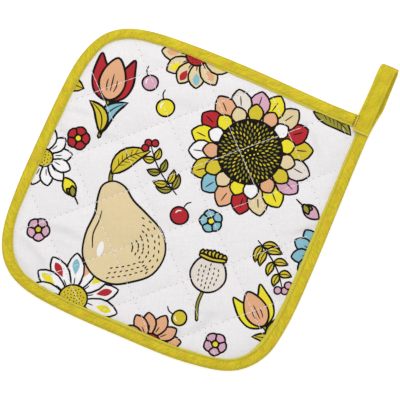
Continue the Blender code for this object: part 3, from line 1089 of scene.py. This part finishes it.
def half_pad(name, shapes, height, finish, side):
    """One face of the pad, closed by its rim and a flat middle that nobody sees.

    side is 1 for the front and -1 for the back.
    """
    edge = edge_places(np.linspace(0.0, EDGE_LENGTH, EDGE_STEPS, endpoint=False))
    boundary = set_in(edge, TAPE_THICK + GAP + UNDER_TAPE)
    open_cloth = set_in(edge, edge.reach + CREVICE)
    flat, faces, inks = cut_cloth(boundary, [(open_cloth, "cloth")] + shapes)
    ring = rim_of(faces)
    out = unit(flat[ring])
    middle = MID_HEIGHT + side * MID_APART
    points = np.vstack((
        np.column_stack((flat, height(*flat.T))),
        np.column_stack((flat[ring] + 0.5 * out, np.full(len(ring), middle))),
        [(0.0, 0.0, middle)],
    ))
    normals = np.vstack((
        slopes(height, *flat.T) * side,
        np.column_stack((out, np.zeros(len(ring)))),
        [(0.0, 0.0, -side)],
    ))
    base, hub = len(flat), len(points) - 1
    closing = closing_faces(ring, base, hub)
    every = np.vstack((faces, closing))[:, ::side].tolist()
    made = add_mesh(name, points, every, finish, "quilted_pad")
    corners = corner_vertices(made.data)
    # painted shade in the front's wrinkle troughs; the back keeps its colour
    tone = front_painted_shade(*points[corners, :2].T) if side > 0 else np.ones(len(corners))
    inks = np.vstack((inks, np.tile(INKS["cloth"], (len(closing), 1))))
    colour = np.column_stack((np.repeat(inks, 3, axis=0) * tone[:, None], np.ones(len(corners))))
    layer = made.data.color_attributes.new("ink", "FLOAT_COLOR", "CORNER")
    layer.data.foreach_set("color", colour.astype(np.float32).ravel())
    add_uv(made.data, "OFBake", bake_places(points, corners, base, hub, 3 * len(faces)))
    made.data.normals_split_custom_set_from_vertices(normals.tolist())


def build_pad(stitches):
    holes = Art()
    # each needle hole's shade is painted as a grey dot in the cloth
    for x1, y1, x2, y2 in stitches:
        reach = np.array((x2 - x1, y2 - y1))
        inward = reach * (STITCH_GAP * 0.5 / np.linalg.norm(reach)) * 0.4
        holes.fill(oval(HOLE, HOLE, 6) + (x1, y1) - inward, "hole")
        holes.fill(oval(HOLE, HOLE, 6) + (x2, y2) + inward, "hole")
    printed = [(turn_to_pad(ring), ink) for ring, ink in printed_design().shapes]
    half_pad("front_cloth", printed + holes.shapes, front_height, cotton("printed_cotton"), 1)
    half_pad("back_cloth", holes.shapes, back_height, cotton("plain_cotton"), -1)
    white = thread("quilting_thread", linear(250, 249, 249))
    for name, height, side in (("front", front_height, 1), ("back", back_height, -1)):
        paths = stitch_paths(stitches, height, side)
        add_threads(f"quilting_stitches_{name}", paths, THREAD, white, "quilted_pad", 7)


# ------------ binding

HEM_STITCH = 2.8  # stitch length along the binding's inner edge
HEM_GAP = 0.4  # of which this much is between two stitches
HEM_THREAD = 0.17
TAPE_STEP = HEM_STITCH / 4  # distance between the binding's sections
HEM_FROM_FOLD = 7.45  # how far the sewn row lies from the folded outer edge
HEM_DIP = 0.12  # how much deeper the tape is drawn in at a needle hole
LEG_ROUND = 0.7  # rounding of the fold's inside
FULL_GATHER = 0.035  # turn of the edge, in radians for each mm, that gathers the tape fully
# The tape's outside from its inner edge to the fold: how far each point lies below the
# leg's full height. The lip and the crown are at shares of the way to and past the
# sewn row, and the row's own points at distances from it.
LIP_PROFILE = ((0.0, 0.82), (0.06, 0.52), (0.20, 0.34), (0.50, 0.22))
ROW_PROFILE = ((-0.28, 0.20), (0.0, 0.34), (0.28, 0.15), (0.65, 0.01), (1.2, -0.05))
CROWN_PROFILE = (
    (0.12, -0.08), (0.30, -0.10), (0.46, -0.02), (0.58, 0.10), (0.69, 0.27), (0.79, 0.54),
    (0.87, 0.92), (0.935, 1.42), (0.98, 2.05),
)
# Along one stitch of the binding or the loop: shares of its length, and its height there.
STITCH_SHARES = np.array((0.0, 0.1, 0.3, 0.7, 0.9, 1.0))
HEM_LIFT = np.array((-0.30, -0.03, 0.11, 0.11, -0.03, -0.30))
LOOP_LIFT = np.array((-0.25, 0.02, 0.14, 0.14, 0.02, -0.25))


def smooth_bend(reach=12):
    """How sharply the edge turns at each of its points, evened out over its neighbours."""
    bend = np.abs(np.gradient(EDGE_HEADINGS, EDGE_LENGTHS))
    share = np.ones(2 * reach + 1) / (2 * reach + 1)
    return np.convolve(np.pad(bend, reach, mode="edge"), share, mode="valid")


EDGE_BEND = smooth_bend()


def tape_ripple(along):
    """How much the tape gathers: strongest where the edge turns."""
    turning = clamp(np.interp(along, EDGE_LENGTHS, EDGE_BEND) / FULL_GATHER, 0.0, 1.0)
    gathers = np.sin(2 * np.pi * along / 5.3 + 2.0 * np.sin(along / 19.0))
    waves = np.sin(along / 6.1 + 1.7 * np.sin(along / 13.0)) * np.sin(along / 29.0 + 0.4)
    return 0.13 * turning * gathers + 0.09 * waves


def row_inset(reach):
    """How far the sewn row lies from the binding's inner edge."""
    return clamp(reach - HEM_FROM_FOLD, 0.85, 3.2)


def tape_section(reach, row, hem_dip, ripple):
    """One cross-section: (distance inside the edge, height), from the upper inner edge round."""
    outside = [(share * row, drop) for share, drop in LIP_PROFILE]
    outside += [(row + off, drop + hem_dip * bell(off, 0.4)) for off, drop in ROW_PROFILE]
    past = row + ROW_PROFILE[-1][0]
    outside += [(past + share * (reach - past), drop) for share, drop in CROWN_PROFILE]
    above = []
    below = []
    for inset, drop in outside:
        hump = math.sin(math.pi * min(inset / (0.9 * reach), 1.0)) ** 2
        above.append((reach - inset, EDGE_HEIGHT - drop + ripple * hump))
        below.append((reach - inset, max(0.9 * drop, 0.03)))
    leg = TAPE_THICK
    inner = [(reach, leg), (leg + 0.5, leg), (leg, leg + LEG_ROUND)]
    inner += [(inset, EDGE_HEIGHT - height) for inset, height in reversed(inner)]
    return np.array(above + [(-0.04, 0.5 * EDGE_HEIGHT)] + below[::-1] + inner)


def shaded_tape(section, from_row, hole, low_side):
    """Painted shade on the tape at a section's points: in the sewn row and towards the fold."""
    in_row = (0.30 + 0.50 * low_side) * (0.75 + 0.5 * hole) * bell(from_row, 0.26)
    at_fold = 0.42 * bell(section[:, 0], 1.35 + 1.1 * low_side)
    return np.maximum(in_row, at_fold)


def build_binding(finish):
    along = np.linspace(0.0, EDGE_LENGTH, int(EDGE_LENGTH / TAPE_STEP) + 1)
    edge = edge_places(along)
    ripple = tape_ripple(along)
    hem_dip = HEM_DIP * np.cos(2 * np.pi * along / HEM_STITCH)
    wander = 0.10 * np.sin(along / 8.7 + 1.1) + 0.08 * np.sin(along / 3.9 + np.sin(along / 23.0))
    trims = np.zeros(len(along))
    trims[0], trims[-1] = MITRE_GAP, -MITRE_GAP
    holes = at_holes(along, HEM_STITCH)
    picture_up = turn_to_pad([(0.0, 1.0)])[0]
    # painted shade is deeper and wider on the edge whose fold faces away from the lamp
    low_side = clamp((edge.inward @ picture_up - 0.45) / 0.4, 0.0, 1.0)
    points, layer, painted_shade, painted_highlight = [], [], [], []
    for k in range(len(along)):
        reach = edge.reach[k] + wander[k]
        row = row_inset(reach)
        section = tape_section(reach, row, hem_dip[k], ripple[k])
        inset, height = section[:, :1], section[:, 1:]
        from_row = reach - section[:, 0] - row
        painted_shade.append(shaded_tape(section, from_row, holes[k], low_side[k]))
        # painted highlight on the lip, inside the sewn row
        painted_highlight.append(clamp(-from_row / 0.4, 0.0, 1.0))
        layer.append(np.column_stack((np.full(len(section), along[k]), lengths_along(section))))
        ahead = inset * edge.mitre[k] + trims[k]
        flat = edge.spots[k] + edge.inward[k] * inset + edge.forward[k] * ahead
        points.append(np.hstack((flat, height)))
    faces = skin_rows(len(along), len(section))
    made = add_mesh("edge_binding_tape", np.vstack(points), faces, finish, "edge_binding")
    add_uv(made.data, "tape", np.vstack(layer)[corner_vertices(made.data)])
    add_share(made.data, "painted_shade", np.concatenate(painted_shade))
    add_share(made.data, "painted_highlight", np.concatenate(painted_highlight))


def build_binding_stitches(finish):
    """The row that holds the binding down, just inside its inner edge, above and below."""
    draw = random.Random(3)
    starts = np.arange(4, int(EDGE_LENGTH / HEM_STITCH) - 4) * HEM_STITCH
    for name, level, side in (("above", EDGE_HEIGHT, 1), ("below", 0.0, -1)):
        paths = []
        for start in starts:
            along = start + 0.5 * HEM_GAP + STITCH_SHARES * (HEM_STITCH - HEM_GAP)
            edge = edge_places(along)
            slip = draw.uniform(-0.10, 0.10)
            flat = set_in(edge, edge.reach - row_inset(edge.reach) + slip)
            height = level + side * HEM_LIFT + (0.12 * tape_ripple(along) if side > 0 else 0.0)
            paths.append(np.column_stack((flat, np.maximum(height, 0.14))))
        add_threads(f"binding_stitches_{name}", paths, HEM_THREAD, finish, "edge_binding")


# ------------ hanging loop

LOOP_STEPS = 12  # sections from one place on the loop's route to the next
TIP_SLACK = 0.8  # how far the turn's left corner is drawn back
SLACK_FROM_X = 99.8  # the corner that is drawn back lies to the left of this
SLACK_FROM_Y = 142.0  # and further up than this
ROOT_END_Y = 112.5  # above this the tape is free of the binding's fold
PLY_LINE = 0.58  # the turned-in edges show at this share of the half width
# painted shade along the line where the plies part
PLY_SHADE = 0.26
TIP_SHADE = 0.62  # painted shade: how dark the tape is where it turns over at the tip
# A quarter of the folded tape's section, from the fold inwards: shares of the half width
# and of the half thickness.
STRIP_QUARTER = (
    (1.0, 0.10), (0.985, 0.55), (0.955, 0.86), (0.90, 1.0), (0.82, 1.01), (0.73, 0.99),
    (0.64, 0.97), (0.55, 0.96), (0.42, 0.98), (0.2, 1.0),
)
PARTING = 0.965  # how far out the parting line between the two plies lies
# The binding's rounded fold: how far inside the bound edge it lies at distances from mid height.
FOLD_HEIGHTS = (0.2, 0.7, 1.33, 1.83, 2.21, 2.48)
FOLD_INSETS = (0.0, 0.12, 0.40, 0.80, 1.30, 1.90)


def loop_line():
    """The loop's centre line: lower layer, round turn, upper layer back to its end."""
    lower, upper = LOOP_LOWER[-1], LOOP_UPPER[0]
    centre_y = LOOP_TIP_Y - 0.5 * LOOP_THICK - LOOP_TURN
    centre_z = 0.5 * LOOP_THICK + LOOP_TURN
    turn = []
    for angle in TURN_ANGLES:
        share = (angle + 90) / 180
        out, up = directions(angle)[0]
        turn.append((
            lower.x + (upper.x - lower.x) * share,
            centre_y + LOOP_TURN * out,
            centre_z + LOOP_TURN * up,
            lower.width + TURN_SPREAD * out,
            LOOP_THICK,
        ))
    rows = np.array([place[1:] for place in LOOP_LOWER] + turn + [place[1:] for place in LOOP_UPPER])
    line = smooth_rows(rows, LOOP_STEPS)
    line[:, 2] = np.maximum(line[:, 2], 0.5 * line[:, 4])
    return line


def strip_section(width, thick):
    """A folded tape's cross-section: two rounded folds with the parting line between their plies."""
    wide, high = 0.5 * width, 0.5 * thick
    right = [(wide * PARTING, 0.0)] + [(wide * a, high * b) for a, b in STRIP_QUARTER]
    top = right + [(-x, z) for x, z in reversed(right)]
    return np.array(top + [(x, -z) for x, z in reversed(top[1:-1])])


def fold_inset(z):
    """How far inside the bound edge the binding's rounded fold lies at this height."""
    return np.interp(np.abs(z - 0.5 * EDGE_HEIGHT), FOLD_HEIGHTS, FOLD_INSETS)


def edge_over(x):
    """How far up the bound edge lies at x, near the loop's corner."""
    first = EDGE_POINTS[:40][::-1]
    return np.interp(x, first[:, 0], first[:, 1])


def fit_root_and_tip(points, count):
    """Sets the first section against the binding's fold, and draws the tip's left corner back."""
    points[:, 2] = np.maximum(points[:, 2], 0.02)
    first = points[:count]
    first[:, 1] = edge_over(first[:, 0]) + 0.10 - fold_inset(first[:, 2])
    at_left = clamp((SLACK_FROM_X - points[:, 0]) / 3.6, 0.0, 1.0) ** 1.5
    points[:, 1] -= TIP_SLACK * at_left * clamp((points[:, 1] - SLACK_FROM_Y) / 6.0, 0.0, 1.0)


def build_loop(finish):
    line = loop_line()
    ahead = unit(np.gradient(line[:, 1:3], axis=0))
    ahead[0] = (1.0, 0.0)
    ahead[-1] = (-1.0, 0.0)
    run = lengths_along(line[:, :3])
    points, layer, plies = [], [], []
    for k, (x, y, z, width, thick) in enumerate(line):
        run_y, run_z = ahead[k]
        width += 0.12 * math.sin(run[k] / 4.7)
        section = strip_section(width, thick)
        aside, over = section.T
        upper = run_y < -0.5
        at_root = 0.0 if upper else float(clamp((ROOT_END_Y - y) / 3.5, 0.0, 1.0))
        limit = 0.5 * width - at_root * 0.8 * fold_inset(z + over)
        aside = clamp(aside, -limit, limit)
        from_ply = np.abs(aside) / (0.5 * width) - PLY_LINE
        plies.append(PLY_SHADE * bell(from_ply, 0.15) * upper * (over < 0))
        points.append(np.column_stack((x + aside, y - run_z * over, z + run_y * over)))
        layer.append(np.column_stack((np.full(len(section), run[k]), aside + 0.4 * over)))
    points = np.vstack(points)
    fit_root_and_tip(points, len(section))
    faces = skin_rows(len(line), len(section))
    made = add_mesh("hanging_loop_tape", points, faces, finish, "hanging_loop")
    add_uv(made.data, "tape", np.vstack(layer)[corner_vertices(made.data)])
    # painted shade at the tip's turnover and between the plies
    tip = TIP_SHADE * bell(LOOP_TIP_Y - points[:, 1], 1.3)
    add_share(made.data, "painted_shade", np.maximum(tip, np.concatenate(plies)))


# Rows of stitches through the loop's upper layer: the points that each passes, the stitch's
# length with its gap, and the thread. One more row lies on the binding beside the loop.
LoopRow = namedtuple("LoopRow", "points stitch gap thread")
LOOP_ROWS = (
    LoopRow(((96.9, 96.25), (108.4, 96.25)), 2.3, 0.35, "pale"),
    LoopRow(((96.9, 99.3), (107.4, 99.3)), 2.4, 0.5, "bright"),
    LoopRow(((96.15, 98.4), (96.1, 107.4)), 1.9, 0.7, "pale"),
    LoopRow(((96.7, 98.2), (96.7, 107.8)), 1.9, 0.4, "dark"),
    LoopRow(((107.15, 97.6), (106.75, 106), (106.85, 114), (106.9, 127), (107.25, 140)),
            2.6, 0.5, "yellow"),
    LoopRow(((96.95, 109), (97.3, 127), (97.15, 140)), 2.6, 0.5, "yellow"),
)
BINDING_ROW = LoopRow(((94.85, 98.6), (94.75, 107.4)), 1.9, 0.4, "dark")
# Each thread's radius and how its colour shows.
LOOP_THREADS = {
    "pale": (0.24, (240, 228, 150)),
    "bright": (0.2, (238, 224, 30)),
    "yellow": (0.18, (216, 200, 60)),
    "dark": (0.25, (112, 98, 30)),
}


def row_paths(row, height):
    """The centre lines of one row's stitches, over the surface that height gives."""
    paths = []
    for start, end in zip(row.points, row.points[1:]):
        reach = np.subtract(end, start)
        length = float(np.linalg.norm(reach))
        for k in range(int(length / row.stitch)):
            at = (k * row.stitch + 0.5 * row.gap + STITCH_SHARES * (row.stitch - row.gap)) / length
            flat = start + at[:, None] * reach
            paths.append(np.column_stack((flat, height(flat[:, 1]) + LOOP_LIFT)))
    return paths


def build_loop_stitches(threads):
    line = loop_line()
    upper = line[len(line) // 2:]
    upper = upper[upper[:, 1] < LOOP_UPPER[0].y + 0.1][::-1]

    def top_of_loop(y):
        return np.interp(y, upper[:, 1], upper[:, 2]) + 0.5 * LOOP_THICK

    def top_of_binding(y):
        return np.full(len(y), EDGE_HEIGHT + 0.05)

    for colour, (radius, _) in LOOP_THREADS.items():
        paths = []
        for row in LOOP_ROWS:
            if row.thread == colour:
                paths += row_paths(row, top_of_loop)
        if colour == BINDING_ROW.thread:
            paths += row_paths(BINDING_ROW, top_of_binding)
        add_threads(f"loop_stitches_{colour}", paths, radius, threads[colour], "hanging_loop")


# ------------ stage, camera and light

VIEW_MIDDLE = (14.95, 5.66)  # the point of the pad's plane at the middle of the picture
VIEW_WIDTH = 290.3  # what the picture's side covers there
CAMERA_HEIGHT = 1500.0
SENSOR = 36.0
FLOOR_REACH = 3.0  # metres
FLOOR_GLOW = 0.22  # keeps the floor as white as the picture's ground
WORLD_LIGHT = 0.99
KEY_PLACE = (-0.05, 0.8, 0.8)  # metres, in the picture's own axes
KEY_SIZE = 0.7
KEY_POWER = 3.8


def build_stage():
    finish = Finish("floor_white", roughness=0.9, sheen=0.0, specular=0.1)
    spot = finish.node("ShaderNodeTexCoord", output="Object")
    tone = finish.spread(finish.noise(spot, 6.0), 0.3, 0.7)
    finish.feed(finish.shader, {
        "Base Color": finish.mix(tone, (0.955, 0.955, 0.955, 1.0), (0.97, 0.97, 0.97, 1.0)),
        "Emission Color": (1.0, 1.0, 1.0, 1.0),
        "Emission Strength": FLOOR_GLOW,
    })
    mesh = bpy.data.meshes.new("floor")
    corners = [(x * FLOOR_REACH, y * FLOOR_REACH, 0) for x, y in ((-1, -1), (1, -1), (1, 1), (-1, 1))]
    mesh.from_pydata(corners, [], [(0, 1, 2, 3)])
    mesh.materials.append(finish.material)
    add_object("floor", mesh)


def build_camera():
    data = bpy.data.cameras.new("camera")
    data.sensor_width = SENSOR
    data.lens = SENSOR * CAMERA_HEIGHT / VIEW_WIDTH
    camera = add_object("camera", data)
    camera.location = (VIEW_MIDDLE[0] * MM, VIEW_MIDDLE[1] * MM, CAMERA_HEIGHT * MM)
    camera.rotation_euler = (0.0, 0.0, math.radians(PRINT_TURN))
    bpy.context.scene.camera = camera


def build_light():
    """Even light from all round, and one square soft lamp that faces the pad."""
    world = bpy.data.worlds.new("studio")
    world.use_nodes = True
    sky = world.node_tree.nodes["Background"]
    sky.inputs["Color"].default_value = (1.0, 1.0, 1.0, 1.0)
    sky.inputs["Strength"].default_value = WORLD_LIGHT
    bpy.context.scene.world = world
    data = bpy.data.lights.new("key", "AREA")
    data.size = KEY_SIZE
    data.energy = KEY_POWER
    lamp = add_object("key", data)
    (x, y), = turn_to_pad([KEY_PLACE[:2]])
    lamp.location = (x, y, KEY_PLACE[2])
    lamp.rotation_euler = (-lamp.location).to_track_quat("-Z", "Y").to_euler()
    bpy.context.scene.view_settings.view_transform = "Standard"


# ------------ the whole scene


def main():
    build_camera()
    build_light()
    build_stage()
    build_pad(stitch_places())
    build_binding(tape("binding_tape_cloth", 0.8, (0.13, 0.30, 1.0)))
    threads = {}
    for name, (_, seen) in LOOP_THREADS.items():
        threads[name] = thread(f"{name}_thread", linear(*seen))
    build_binding_stitches(threads["yellow"])
    build_loop(tape("loop_tape_cloth", 0.45, (0.10, 0.20, 1.0)))
    build_loop_stitches(threads)


main()
